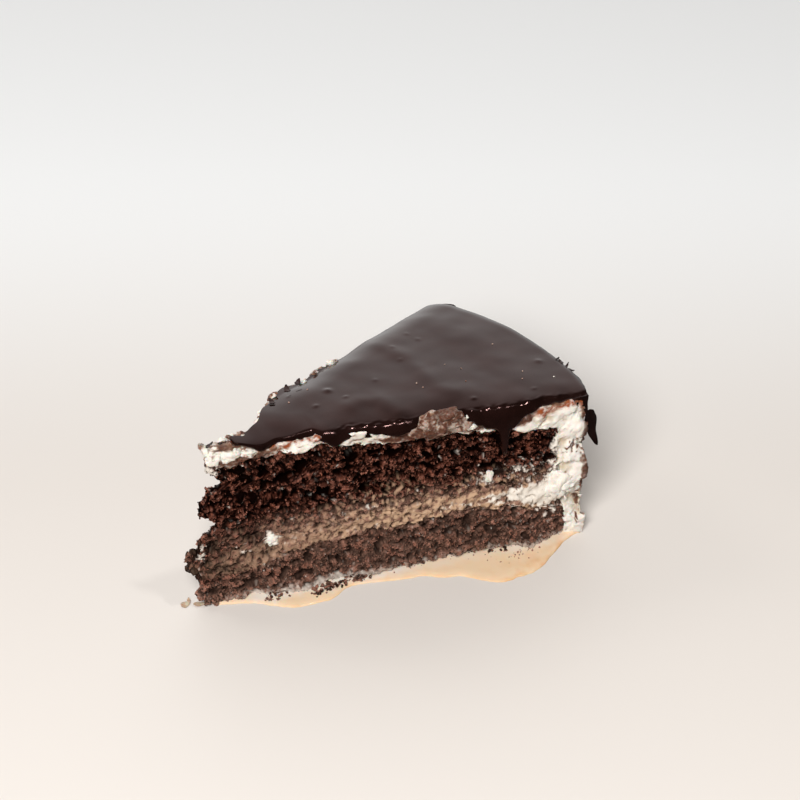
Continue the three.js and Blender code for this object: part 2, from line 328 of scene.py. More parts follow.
# --- materials ---
class Surface:                     # a material with a few short ways of adding nodes
    def __init__(self, name, layer=None):
        self.material = bpy.data.materials.new(name)
        self.material.use_nodes = True
        self.tree = self.material.node_tree
        self.shader = self.tree.nodes["Principled BSDF"]
        self.where = self.tree.nodes.new("ShaderNodeTexCoord").outputs["Object"]
        if layer:                  # the four shares that a piece's points carry
            node = self.tree.nodes.new("ShaderNodeAttribute")
            node.attribute_name = layer
            split = self.tree.nodes.new("ShaderNodeSeparateColor")
            self.join(node.outputs["Color"], split.inputs[0])
            self.shares = [*split.outputs, node.outputs["Alpha"]]

    def join(self, output, socket):
        self.tree.links.new(output, socket)

    def speckle(self, size, detail=3.0, rough=0.6):      # size in mm
        node = self.tree.nodes.new("ShaderNodeTexNoise")
        node.inputs["Scale"].default_value = 1000.0 / size
        node.inputs["Detail"].default_value = detail
        node.inputs["Roughness"].default_value = rough
        self.join(self.where, node.inputs["Vector"])
        return node.outputs["Fac"]

    def span(self, value, low, high, start=0.0, end=1.0):
        node = self.tree.nodes.new("ShaderNodeMapRange")
        node.interpolation_type = "SMOOTHSTEP"
        for name, number in (("From Min", low), ("From Max", high), ("To Min", start), ("To Max", end)):
            node.inputs[name].default_value = number
        self.join(value, node.inputs["Value"])
        return node.outputs["Result"]

    def times(self, first, second):
        node = self.tree.nodes.new("ShaderNodeMath")
        node.operation = "MULTIPLY"
        node.use_clamp = True
        for socket, value in zip(node.inputs, (first, second)):
            if isinstance(value, float):
                socket.default_value = value
            else:
                self.join(value, socket)
        return node.outputs[0]

    def blend(self, share, first, second):
        node = self.tree.nodes.new("ShaderNodeMix")
        node.data_type = "RGBA"
        if isinstance(share, float):
            node.inputs[0].default_value = share
        else:
            self.join(share, node.inputs[0])
        for socket, colour in ((node.inputs[6], first), (node.inputs[7], second)):
            if isinstance(colour, tuple):
                socket.default_value = (*colour, 1)
            else:
                self.join(colour, socket)
        return node.outputs[2]

    def bump(self, value, depth, strength=1.0, after=None):       # depth in mm
        node = self.tree.nodes.new("ShaderNodeBump")
        node.inputs["Distance"].default_value = depth / 1000
        node.inputs["Strength"].default_value = strength
        self.join(value, node.inputs["Height"])
        if after:
            self.join(after, node.inputs["Normal"])
        return node.outputs["Normal"]

    def finish(self, colour, roughness, normal, **fixed):
        for name, value in (("Base Color", colour), ("Roughness", roughness), ("Normal", normal)):
            if isinstance(value, (int, float)):
                self.shader.inputs[name].default_value = value
            elif isinstance(value, tuple):
                self.shader.inputs[name].default_value = (*value, 1)
            elif value is not None:
                self.join(value, self.shader.inputs[name])
        for name, value in fixed.items():
            self.shader.inputs[name.replace("_", " ")].default_value = value
        return self.material


# pitShade is painted shade in the crumb's pits and gaps, and peakLit is painted light on its tops; red, soaked, mash
# and milk are the crumb's own colours.
crumbColours = {
    "pitShade": (0.003, 0.0008, 0.0005),
    "middle": (0.068, 0.0195, 0.0115),
    "peakLit": (0.300, 0.118, 0.078),
    "red": (0.230, 0.062, 0.028),
    "soaked": (0.320, 0.180, 0.130),
    "mash": (0.500, 0.325, 0.205),
    "milk": (0.740, 0.670, 0.585),
}


# The cut's colours. Shares: how high the crumb stands, which paints shade in the pits and light on the tops, how
# soaked it is, how much mash and how much cream, which also paints glints.
def cutMaterial(name):
    s = Surface(name, "cut")
    relief, soak, mash, milk = s.shares
    # painted shade on the low crumb and painted light on the high crumb
    body = s.blend(s.span(relief, 0.16, 0.50), crumbColours["pitShade"], crumbColours["middle"])
    body = s.blend(s.span(relief, 0.40, 0.95), body, crumbColours["peakLit"])
    rusty = s.times(s.span(s.speckle(0.9), 0.5, 0.72), s.span(relief, 0.3, 0.7))
    body = s.blend(rusty, body, crumbColours["red"])
    damp = s.times(soak, s.span(relief, 0.0, 0.5, 0.30, 1.0))
    body = s.blend(s.times(damp, s.span(s.speckle(1.6), 0.3, 0.7, 0.30, 0.9)), body, crumbColours["soaked"])
    body = s.blend(s.times(mash, s.span(relief, 0.0, 0.45, 0.35, 1.0)), body, crumbColours["mash"])
    body = s.blend(milk, body, crumbColours["milk"])
    rough = s.span(soak, 0.0, 0.8, 0.46, 0.20)
    normal = s.bump(s.speckle(0.45, 2.0), 0.16, 0.8)
    s.join(s.span(relief, 0.15, 0.6, 0.04, 0.6), s.shader.inputs["Specular IOR Level"])
    return s.finish(body, rough, normal)


# low is painted shade, warm and dim, for the cream's hollows and the low sides of its facets; high is the cream's own
# colour; taupe, cocoa and orange are stains.
creamColours = {
    "high": (0.785, 0.730, 0.655),
    "low": (0.560, 0.460, 0.330),
    "taupe": (0.200, 0.100, 0.060),
    "cocoa": (0.090, 0.034, 0.020),
    "orange": (0.270, 0.060, 0.013),
}


def creamMaterial():
    s = Surface("whipped_cream", "coat")
    relief, cocoa, orange, fat = s.shares
    # painted shade: the cream's low relief is darker and warmer
    body = s.blend(s.span(relief, 0.05, 0.5), creamColours["low"], creamColours["high"])
    spread = s.span(s.speckle(1.5, 4.0), 0.28, 0.60, 0.55, 1.0)
    body = s.blend(s.times(orange, s.span(s.speckle(2.0, 4.0), 0.36, 0.58, 0.15, 1.0)), body, creamColours["orange"])
    body = s.blend(s.times(s.span(cocoa, 0.0, 0.6), spread), body, creamColours["taupe"])
    body = s.blend(s.times(s.span(cocoa, 0.60, 1.0), spread), body, creamColours["cocoa"])
    normal = s.bump(s.speckle(1.0, 4.0, 0.6), 0.16, 0.6)
    return s.finish(body, 0.5, normal, Subsurface_Weight=0.25, Subsurface_Scale=0.0015)


def glazeMaterial():
    s = Surface("chocolate_glaze")
    shade = s.blend(s.span(s.speckle(9.0, 2.0), 0.35, 0.7), (0.0060, 0.0020, 0.0014), (0.0120, 0.0044, 0.0034))
    rough = s.span(s.speckle(14.0, 3.0), 0.3, 0.7, 0.08, 0.17)
    normal = s.bump(s.speckle(2.4, 2.0), 0.02, 0.5)
    return s.finish(shade, rough, normal, IOR=1.5, Specular_Tint=(1.0, 0.58, 0.54, 1.0))


def poolMaterial():
    s = Surface("cocoa_milk", "pool")
    outward, tint, film, spare = s.shares
    body = s.blend(s.span(outward, 0.0, 0.5), (0.80, 0.64, 0.48), (0.80, 0.585, 0.385))
    body = s.blend(s.times(film, s.span(s.speckle(5.0, 3.0), 0.3, 0.6, 0.4, 1.0)), body, (0.78, 0.71, 0.645))
    body = s.blend(s.times(tint, s.span(s.speckle(7.0, 3.0), 0.3, 0.7, 0.5, 1.0)), body, (0.74, 0.43, 0.22))
    normal = s.bump(s.speckle(6.0, 2.0), 0.05, 0.3)
    return s.finish(body, 0.12, normal, IOR=1.36, Subsurface_Weight=0.2, Subsurface_Scale=0.001)


crumb = cutMaterial("cocoa_crumb")
mash = cutMaterial("soaked_filling")
cream = creamMaterial()
glaze = glazeMaterial()
milk = poolMaterial()


# --- the cut's colours and crumb, shared by both sponges and the filling ---
cut = {
    "clump": 3.2, "clumpDepth": 1.0,
    "grain": 1.05, "grainDepth": 0.54,
    "fine": 0.6, "fineDepth": 0.26,
    "pit": 3.0, "pitDepth": 2.6,
    "smoothing": 2,
}
crevices = [
    (16, 43.2, 9, 1.5, 1.5), (34, 42, 6, 2.4, 2.4), (50, 43.5, 5, 2.2, 2.8), (22, 35, 8, 2, 2.4),
    (40, 33, 7, 2, 2.6), (73, 42, 9, 2, 2.6), (58, 31, 9, 1.8, 2), (86, 33, 8, 1.8, 2.2),
    (104, 36, 6, 2.6, 2.6), (6, 12.8, 3, 2.2, 2.4), (18, 13.4, 7, 1.2, 2.2), (45, 14.6, 16, 1.1, 1.8),
]
spongeSwells = [
    (31, 1, 9, 4, 3), (48, 3, 4, 4, 1.6), (58, 2, 4, 4, 2.2), (69, 3, 6, 5, 2.4), (84, 4, 5, 4, 1.4), (94, 7, 10, 4, 0.8),
    (103, 2, 7, 5, 3.4),
]
creamSwells = [(75, 49.5, 6, 3.6, 2.8), (115, 19, 3, 5, 1.6), (108, 45, 8, 4, 1)]
soakStrength = [(0, 0.15), (10, 0.35), (30, 0.9), (60, 1.0)]
mashStrength = [(0, 0.10), (12, 0.32), (22, 0.42), (30, 0.50), (45, 0.72), (60, 0.90), (120, 1.0)]
mashTop = [
    (0, 17.5), (12, 19), (22, 21.4), (38, 21), (50, 23), (56, 24.4), (62, 25.4), (69, 23.6), (82, 22), (90, 22.6),
    (108, 19), (120, 21),
]
# White patches of cream in the cut, and pits that are sunk and painted darker as shade.
whiteSpots = [
    (22, 20, 2.6, 2.4, 1.3), (53, 25, 1.2, 1.4, 0.9), (90, 26, 3, 3.0, 0.55), (101, 28, 8, 4.0, 0.50),
    (94, 19, 6, 2.4, 0.8), (104, 17.5, 7, 3.2, 1.2), (111, 17, 5, 5.5, 1.8), (0, 19, 1.5, 5, 0.9), (4, 48, 3, 2, 0.9),
    (30, 26, 4, 1, 0.4), (78, 18.6, 9, 1.6, 0.42), (60, 18, 6, 1.2, 0.36), (14, 17.5, 2.4, 1.0, 0.6),
    (113.4, 33, 2.6, 8, 1.0), (19, 48.4, 6, 1.6, 0.42),
]
footFilm = [(0, 0.1), (14, 0.6), (25, 1.0), (55, 1.0), (66, 0.5), (85, 0.4), (104, 0.9), (118, 0.5)]
pits = [
    (13, 46, 2.0, 1.2, 2.2), (19, 45.4, 1.8, 1.3, 2.2), (47, 44, 1.4, 3.2, 3.0), (33, 43, 2.4, 1.3, 2.2),
    (60, 42, 3.4, 1.0, 2.2), (70, 44, 4.2, 1.0, 2.4), (99, 38, 3.2, 1.6, 2.8), (88, 36, 2.6, 1.0, 1.8),
    (26, 40, 3.0, 0.9, 2.0), (52, 35, 3.0, 0.9, 1.8), (38, 36, 2.0, 0.9, 1.8), (6, 12.5, 3.0, 1.6, 2.0),
    (57, 11.5, 2.2, 1.0, 1.8), (80, 11, 2.0, 1.0, 1.6), (66, 12, 3.4, 0.7, 1.6), (12, 37, 2.4, 1.2, 1.8),
]


def frontSpongeCut(reach, z):
    crags = 1.0 * wave(reach, 0, z * 1.3, 9, 3) + 0.6 * wave(reach, 0, z * 1.2, 4, 7)
    crags += 2.2 * wave(reach, 0, z * 0.5, 4.6, 9) * ease((9 - z) / 7)        # ragged along the foot
    return crags + mounds(spongeSwells, reach, z) - mounds(crevices, reach, z)


def backSpongeCut(reach, z):
    crags = 1.0 * wave(reach, 5, z * 1.3, 9, 11) + 0.6 * wave(reach, 5, z * 1.2, 4, 13)
    return crags - mounds(crevices, cake["coatRadius"] - reach, z)


def frontFillingCut(reach, z):
    return 0.3 + 0.9 * wave(reach, 0, z * 1.3, 5, 17) + 0.5 * wave(reach, 0, z, 2.2, 19)


def backFillingCut(reach, z):
    return 0.2 + 0.9 * wave(reach, 4, z * 1.3, 5, 27) + 0.5 * wave(reach, 4, z, 2.2, 29)


def sideReach(point):          # the reach to read tables by: turned round on the back cut
    reach = math.hypot(point.x, point.y)
    if point.y < 0.25 * point.x - 1:
        return reach
    return mix(reach, cake["coatRadius"] - reach, ease((point.x - 8) / 30))


def cells(point, size):            # 1 in the middle of a grain, 0 in the gap between two
    away = noise.voronoi(point / size)[0]
    return min(1.0, 1.7 * (away[1] - away[0]))


def crumbRelief(point, wet, reach):
    drift = Vector(noise.noise_vector(point * 0.4)) * 0.9
    p = point + drift
    clump = cells(p, cut["clump"])
    grain = cells(p, cut["grain"])
    fine = cells(p + drift, cut["fine"])
    hole = ease((wave(p.x, p.y, p.z * 1.7, cut["pit"], 5) + 0.35 * wave(*p, 1.6, 6) - 0.10) / 0.34)
    pit = mounds(pits, reach, point.z + 1.2 * wave(*p, 2.0, 9))
    calm = 1 - 0.45 * wet
    height = cut["clumpDepth"] * (clump - 0.5) + cut["grainDepth"] * (grain - 0.5) * calm
    height += cut["fineDepth"] * (fine - 0.5) - cut["pitDepth"] * hole * calm - pit
    # the share is lowered in holes and pits: painted shade
    share = 0.34 * clump + 0.44 * grain + 0.22 * fine
    return height, share * (1 - 0.85 * hole) * (1 - min(0.95, 0.45 * pit))


def pasteRelief(point):            # the filling and the cream in the cut are smoother, with soft lumps and a few holes
    p = point + Vector(noise.noise_vector(point * 0.5)) * 0.8
    soft = wave(*p, 2.8, 55) + 0.5 * wave(*p, 1.3, 57) + 0.3 * wave(*p, 0.7, 58)
    hole = ease((wave(*p, 1.8, 59) - 0.30) / 0.2)
    # holes in the paste get a lower share: painted shade
    return 0.8 * soft - 1.3 * hole, (0.62 + 0.35 * soft) * (1 - 0.85 * hole)


def soakAt(reach, z, ragged):          # milk soaked in: all of the lower sponge, the foot of the upper one
    upper = ease((30.5 - z + 3 * ragged) / 10) * read(soakStrength, reach)
    return mix(0.55, 1.0, ease((5 - z) / 5)) if z < read(heights["bottomSponge"], reach) - 1 else upper


def crumbsIn(p):               # 1 where a crumb lies in the filling or the cream
    return ease((wave(*p, 1.9, 47) + 0.5 * wave(*p, 0.8, 48) - 0.03) / 0.20)


def mashAt(reach, z, p):
    ragged = 3.0 * wave(*p, 4.4, 41) + 1.6 * wave(*p, 1.6, 43)
    top = read(mashTop, reach)
    above = ease((top + 0.6 - z + ragged) / 2.4) * (1 - 0.92 * crumbsIn(p))
    above = max(above, 0.7 * ease((wave(*p, 1.3, 45) - 0.20) / 0.15) * ease((top + 9 - z) / 6))
    below = ease((z - read(heights["bottomSponge"], reach) - 0.1 + 0.4 * ragged) / 0.8)
    return above * below * read(mashStrength, reach)


# The share of white: cream patches and milk film, and painted glints on the wet crumb.
def milkAndPaintedGlintsAt(reach, z, p):
    ragged = wave(*p, 1.6, 51) + 0.6 * wave(*p, 0.7, 53)
    spots = mounds(whiteSpots, reach, z) - 0.6 * crumbsIn(p)
    foot = ease((4.6 - z) / 4) * 0.75 * read(footFilm, reach) * (1 if p.y < 0.25 * p.x - 1 else 0.3)
    # painted glints: white specks on the wet crumb standing in for highlights
    paintedGlints = ease((wave(*p, 0.8, 31) - 0.50) / 0.14) * 0.2
    wet = soakAt(reach, z, 0.0)
    soaking = 0.55 * ease((foot + 0.4 * ragged - 0.2) / 0.5)
    return min(1.0, ease((spots + 0.55 * ragged - 0.34) / 0.35) + soaking + paintedGlints * wet)


def cutShares(point):
    reach = sideReach(point)
    ragged = wave(*point, 6.0, 21)
    wet = soakAt(reach, point.z, ragged)
    height, share = crumbRelief(point, wet, reach)
    paste, white = mashAt(reach, point.z, point), milkAndPaintedGlintsAt(reach, point.z, point)
    smooth = min(1.0, paste + white)
    if smooth > 0.02:
        soft, softShare = pasteRelief(point)
        height, share = mix(height, soft, smooth), mix(share, softShare, smooth)
    return height, (max(0.0, share), wet, paste, white)


def makeCutLayer(name, node, material, steps, radius, bottom, top, cuts):
    bm = boxShell(*steps)
    shapeLayer(bm, bottom, top, radius=radius, frontCut=cuts[0], backCut=cuts[1])
    soften(bm, cut["smoothing"])
    layer = bm.verts.layers.float_color.new("cut")
    pushOut(bm, layer, lambda v: cutShares(v.co))
    spots = []                 # where grains may lie, and how much crumb is bare there
    for v in bm.verts:
        if abs(v.normal.z) < 0.8:
            relief, wet, paste, white = v[layer]
            spots.append((v.co.copy(), v.normal.copy(), relief - 0.5 * (paste + white)))
    setDown(bm, name, material, [node])
    return spots


upperSpots = makeCutLayer("upper_sponge", "sponge_top", crumb, (330, 20, 86), cake["topSpongeRadius"],
                          seam("filling"), seam("topSponge", 0.4), (frontSpongeCut, backSpongeCut))
lowerSpots = makeCutLayer("lower_sponge", "sponge_bottom", crumb, (340, 20, 42), cake["bottomSpongeRadius"],
                          lambda x, y: 0.0, seam("bottomSponge"), (frontSpongeCut, backSpongeCut))
fillingSpots = makeCutLayer("soaked_filling", "cream_filling", mash, (330, 14, 24), cake["topSpongeRadius"],
                            seam("bottomSponge", -0.2), seam("filling", 0.4), (frontFillingCut, backFillingCut))
print("sponges and filling are cut")


# --- loose grains of crumb on the cuts ---
grains = {"kinds": 16, "jitter": 0.36, "sink": 0.25, "seed": 7}


def grainKinds(chance):
    kinds = []
    for number in range(grains["kinds"]):
        bm = bmesh.new()
        bmesh.ops.create_icosphere(bm, subdivisions=1, radius=1.0)
        for v in bm.verts:
            v.co *= 1 + chance.uniform(-grains["jitter"], grains["jitter"])
        mesh = bpy.data.meshes.new("grain_kind")
        bm.to_mesh(mesh)
        bm.free()
        kinds.append(mesh)
    return kinds


def strew(name, spots, sizes, material, layerName, sharesOf, seed):
    chance = random.Random(seed)
    kinds = grainKinds(chance)
    bm = bmesh.new()
    for co, normal in spots:
        radius = chance.uniform(*sizes) * chance.uniform(0.8, 1.1)
        turn = Euler([chance.uniform(0, math.tau) for axis in range(3)]).to_matrix().to_4x4()
        shape = Matrix.Diagonal((radius, radius * chance.uniform(0.65, 1.0), radius * chance.uniform(0.55, 0.9), 1))
        centre = co + normal * radius * (0.5 - grains["sink"])
        put = Matrix.Translation((centre.x, centre.y, max(centre.z, radius * 0.4))) @ turn @ shape
        kind = chance.choice(kinds)
        kind.transform(put)
        bm.from_mesh(kind)
        kind.transform(put.inverted())
    for kind in kinds:
        bpy.data.meshes.remove(kind)
    layer = bm.verts.layers.float_color.new(layerName)
    for v in bm.verts:
        v[layer] = sharesOf(v.co)
        v.co.z = max(0.02, v.co.z)
    setDown(bm, name, material, [], smooth=False)


def grainShares(p):
    reach = sideReach(p)
    wet = soakAt(reach, p.z, wave(*p, 6.0, 21))
    share = 0.40 + 0.60 * noise.cell(p / 1.1)
    return share, wet, 0.8 * mashAt(reach, p.z, p), 0.8 * milkAndPaintedGlintsAt(reach, p.z, p)


def chosen(spots, count, least, chance):
    good = [(co, normal) for co, normal, share in spots if share > least]
    return chance.sample(good, min(count, len(good)))


chance = random.Random(grains["seed"])
upperChosen = chosen(upperSpots, 14000, 0.32, chance)
strew("upper_coarse_grains", upperChosen[:5000], (0.24, 0.38), crumb, "cut", grainShares, 11)
strew("upper_fine_grains", upperChosen[5000:], (0.13, 0.27), crumb, "cut", grainShares, 14)
strew("lower_grains", chosen(lowerSpots, 8000, 0.30, chance), (0.15, 0.42), crumb, "cut", grainShares, 12)
strew("filling_grains", chosen(fillingSpots, 1400, 0.16, chance), (0.13, 0.34), mash, "cut", grainShares, 13)
print("grains are strewn")


# --- cream coat ---
coat = {
    "corner": 0.60,             # share of the strip that lies on the top
    "facet": 7.0, "facetDepth": 3.2,
    "chip": 3.4, "chipDepth": 0.9,
    "hollow": 6.0, "hollowDepth": 0.3,
    "rough": 1.3, "roughDepth": 0.18,
    "smoothing": 2,
    "proud": 0.25,
}
cracks = [(119, 32.5, 3.4, 2.2, 1.0)]
creamStains = [        # cocoa on the cream's cut: reach, height, half length, half height, strength
    (75, 51.5, 8, 3.0, 1.2), (71, 47.4, 9, 2.2, 1.3), (9, 55.5, 7, 1.2, 0.7), (17, 50.2, 6, 2.0, 1.3), (111, 49.5, 9, 1.2, 0.4),
    (121.5, 40, 1.0, 8, 0.9), (121.5, 22, 1.2, 7, 0.9), (101.6, 46.5, 3.2, 2.0, 1.4), (88, 46, 4, 1.6, 0.8),
    (50, 49.6, 5, 0.8, 0.6), (60, 47.8, 6, 1.0, 0.7), (120, 12, 1.2, 2, 0.6), (2, 50, 3, 2.4, 0.7), (8, 50.4, 6, 1.2, 0.8),
]
orangeSmears = [
    (18, 53.2, 5, 1.4, 1.8), (24, 53.0, 4.5, 1.6, 2.2), (32, 54.0, 4, 1.2, 1.8), (38, 52.6, 2.2, 2.0, 2.0),
    (70, 50.4, 4, 0.9, 0.9), (81, 51.4, 3, 0.9, 0.9), (115, 48.8, 7, 1.8, 1.1), (107, 47.2, 4, 2.0, 0.9),
    (121.5, 46, 1.4, 4, 1.0),
]


def frontCreamCut(reach, z):
    crags = 0.8 * wave(reach, 0, z, 7, 33) + 0.5 * wave(reach, 0, z, 3, 35)
    return coat["proud"] + crags + mounds(creamSwells, reach, z)


def backCreamCut(reach, z):
    return 0.7 * wave(reach, 7, z, 7, 37) + 0.4 * wave(reach, 7, z, 3, 39)


def outerCream(y, z):
    return (0.8 * wave(0, y, z, 8, 61) + 0.4 * wave(0, y, z, 3.2, 63)) * min(1.0, z / 8)


def creamTop(x, y):
    return read(heights["cream"], math.hypot(x, y)) + 0.6 * swell(x, y) - fall(x, y, cake["coatRadius"])


# The coat is a strip that runs out over the sponge and bends down the outer side to the table.
def coatSpot(s, across, t):
    onTop = min(1.0, s / coat["corner"])
    down = max(0.0, (s - coat["corner"]) / (1 - coat["corner"]))
    innerEdge = mix(cake["topSpongeRadius"], cake["bottomSpongeRadius"], ease(3 * down - 1)) - 0.6
    reachShare = onTop * mix(innerEdge / cake["coatRadius"], 1.0, t)
    z = 50.0
    for settle in range(3):
        x, y = place(reachShare, across, z, cake["coatRadius"], frontCreamCut, backCreamCut)
        inner = seam("topSponge", -0.1)(x, y) * (1 - down)
        outer = creamTop(x, y) * (1 - down)
        z = mix(inner, outer, t)
    x, y = place(reachShare, across, z, cake["coatRadius"], frontCreamCut, backCreamCut, outer=outerCream)
    return x, y, z


def scoops(point, size):       # 0 in a hollow, 1 on the sharp ridge round it
    away = noise.voronoi(point / size)[0]
    return min(1.0, away[0] * 1.3)


def planes(point, size):       # flat faces, each leaning its own way
    point = point / size
    middle = noise.voronoi(point)[1][0]
    lean = noise.cell_vector(middle * 7.3) - Vector((0.5, 0.5, 0.5))
    return (point - middle).dot(lean)


def coatRelief(v):
    p = v.co + Vector(noise.noise_vector(v.co * 0.3)) * 1.2
    hollow = scoops(p, coat["hollow"])
    calm = ease((p.z - 0.5) / 3)
    rough = wave(*p, coat["rough"], 65) + 0.5 * wave(*p, 0.5 * coat["rough"], 67)
    broken = coat["facetDepth"] * planes(p, coat["facet"]) + coat["chipDepth"] * planes(p + v.co, coat["chip"])
    height = calm * (broken + coat["hollowDepth"] * (hollow - 0.5) + coat["roughDepth"] * rough)
    reach = math.hypot(v.co.x, v.co.y)
    if 38 < reach < 70:            # the cream is thin here
        height *= 0.45
    onFront = ease(1.6 - (v.co.x * sine + v.co.y * cosine) / 4)
    ragged = wave(*p, 2.4, 71) + 0.6 * wave(*p, 0.9, 73)
    # the relief share paints the hollows and the low sides of the facets as shade
    relief = 0.35 + 0.3 * hollow + 0.3 * broken + 0.2 * rough
    cocoa = orange = 0.0
    if onFront:
        line = noise.voronoi(p / 2.2)[0]
        # along the crack lines the cream is drawn darker, in the cocoa colour, and sunk 0.8 mm
        crack = mounds(cracks, reach, v.co.z) * ease((0.12 - (line[1] - line[0])) / 0.08)
        cocoa = (mounds(creamStains, reach, v.co.z) + 0.5 * ragged - 0.1 + 2 * crack) * onFront
        orange = (mounds(orangeSmears, reach, v.co.z) + 0.5 * ragged - 0.2) * onFront
        height -= 0.8 * crack
    flecks = ease((wave(*p, 5.5, 75) - 0.28) / 0.1) * ease((wave(*p, 1.6, 77) - 0.05) / 0.2)
    if reach > 119:
        cocoa = max(cocoa, 0.9 * flecks)
    return height, (max(0.0, relief), ease(cocoa / 0.7), ease(orange / 0.8), 1.0)


def makeCoat():
    bm = boxShell(330, 90, 20)
    for v in bm.verts:
        v.co = coatSpot(*v.co)
    soften(bm, coat["smoothing"])
    pushOut(bm, bm.verts.layers.float_color.new("coat"), coatRelief)
    return setDown(bm, "cream_coat_dressed", cream, ["cream_coat"])


makeCoat()

dabs = [         # lumps of cream on the front cut: reach, height, length, height, depth, cocoa, how far out
    (73.5, 50.6, 5.4, 4.0, 3.2, 0.7, 0.8), (79.5, 49.2, 5.0, 2.4, 2.2, 0.6, 0.7), (68, 48.8, 3.6, 1.8, 1.8, 0.9, 0.6),
    (76.5, 52.6, 4.6, 2.2, 2.4, 1.1, 1.0), (84.5, 47.4, 2.0, 1.3, 1.3, 0.2, 0.8),
    (9.5, 52.8, 3.4, 2.4, 1.5, 0.15, 0.0), (15.5, 52.4, 2.6, 1.6, 1.2, 0.5, 0.0), (4.6, 52.0, 2.4, 2.4, 1.2, 0.3, 0.0),
    (113.4, 19.6, 4.2, 4.8, 1.9, 0.0, 0.2), (22, 19.8, 1.7, 1.9, 0.7, 0.0, 0.0), (91, 27.2, 1.2, 2.2, 0.6, 0.2, -0.1),
]


backDabs = {"count": 62, "from": 9.0, "to": 66.0, "seed": 5}


# One lump of torn cream round a centre, turned to a cut.
def addDab(bm, layer, number, centre, sizes, stain, turn):
    made = bmesh.ops.create_icosphere(bm, subdivisions=6 if sizes[0] > 4 else 4, radius=1.0)["verts"]
    least = 0.42 if sizes[0] > 3.5 and stain > 0.5 else 0.0          # the big lump is cocoa cream all through
    for v in made:
        ball = v.co.copy()
        lumps = 1 + 0.34 * wave(*ball, 0.9, number) + 0.26 * wave(*ball, 0.45, number + 9)
        flat = planes(ball + Vector((number, 0, 0)), 0.8)
        ball *= lumps + mix(0.34, 0.08, min(1.0, stain)) * flat + 0.05 * wave(*ball, 0.15, number + 5)
        v.co = centre + turn @ Vector((ball.x * sizes[0], ball.y * sizes[2], ball.z * sizes[1]))
        marbled = ease((stain + 0.8 * wave(*v.co, 2.2, 79) + 0.5 * wave(*v.co, 0.8, 80) - 0.2) / 0.7)
        marbled = max(least, marbled * min(1.0, 2 * stain))
        # the first share paints the low places of each dab as shade
        v[layer] = (max(0.0, 0.2 + 0.5 * lumps + 0.4 * flat), marbled, 0.25 * stain, 1)


def makeDabs():
    bm = bmesh.new()
    layer = bm.verts.layers.float_color.new("coat")
    along = Matrix.Rotation(-cake["halfAngle"], 3, "Z")
    for number, (reach, z, length, height, depth, stain, out) in enumerate(dabs):
        centre = Vector((reach * cosine - out * sine, -reach * sine - out * cosine, z))
        addDab(bm, layer, number, centre, (length, height, depth), stain, along)
    chance = random.Random(backDabs["seed"])
    for number in range(backDabs["count"]):
        x = mix(backDabs["from"], backDabs["to"], (number + chance.random()) / backDabs["count"])
        rise = 1.4 * ease((44 - x) / 10)
        centre = Vector((
            x, backCutAt(x, 53) + chance.uniform(-0.4, 0.5) + 0.4 * rise,
            read(heights["cream"], x) - chance.uniform(-0.4, 1.6) + rise,
        ))
        size = chance.uniform(0.35, 0.95)
        sizes = (size * chance.uniform(1.2, 2.6), size * chance.uniform(0.6, 1.1), size)
        turn = Matrix.Rotation(0.5 * math.sin(number), 3, "Y")
        addDab(bm, layer, number + 40, centre, sizes, chance.choice((0.1, 0.3, 0.5, 0.8)), turn)
    return setDown(bm, "cream_dabs", cream, [])


makeDabs()
print("cream is spread")


# --- chocolate glaze ---
pour = {
    "outerSkin": 2.2, "backSkin": 0.3,
    "round": 1.8,               # how far above its hem the glaze reaches its full thickness
    "crowding": 1.45,           # how much closer the mesh lies along the front lip
    "outerHem": 43.0,
    "bead": 1.6,                # how much further a drip stands out
    "ripple": 0.12,
}
frontSkin = [       # how far the glaze stands out of the front cut
    (8, 0.4), (19, 1.6), (25, -0.6), (36, -1.0), (38.5, 1.6), (42, 2.3), (47, 1.3), (66, 2.0), (72, 0.8), (80, 0.8),
    (85, 2.0), (103, 2.0), (108, 0.9), (122, 1.0),
]
frontHem = [
    (8, 56.4), (12, 56), (20, 52.5), (25, 53.6), (36, 53.6), (38.5, 51.4), (41.5, 49.4), (45.7, 51), (49.6, 51.9),
    (55.8, 50.4), (62, 48.6), (67, 50), (70, 52), (77, 52.4), (81, 51.2), (84, 48.7), (87, 46.9), (92, 44.4),
    (98, 44), (102, 47.6), (108, 49.4), (122, 50),
]
backHem = [(8, 56), (40, 53.6), (60, 51), (92, 49), (122, 44)]
glazeTip = [(0, 11)]
drips = [        # down the outer side: degrees round from the middle, height of the end, width
    (-15.4, 38, 5), (-10.5, 36, 5), (-4.8, 25, 6.4), (1.4, 34, 5.4), (6.6, 20, 6), (12.6, 30, 5),
]
frontDrip = {"reach": 95, "end": 33.5, "width": 2.2, "bead": 1.1}
lipFall = [
    (0, 0.3), (12, 0.5), (18, 1.5), (26, 1.7), (36, 1.0), (46, 1.7), (62, 2.2), (76, 2.2), (100, 1.1), (126, 0.8),
]
lipWidth = [(0, 4), (14, 9), (20, 12), (28, 13), (36, 10), (46, 13), (62, 14), (76, 14), (100, 9), (126, 8)]
lipRound = [(8, 0.7), (28, 0.9), (36, 2.2), (42, 3.2), (64, 3.4), (76, 3.0), (100, 2.8), (126, 2.6)]
glintRise = [(40, 0), (46, 0.34), (62, 0.36), (70, 0.1), (84, 0.34), (97, 0.34), (104, 0.36), (122, 0.3)]
glintAway = [(40, 3.0), (60, 2.8), (90, 2.2), (122, 1.8)]
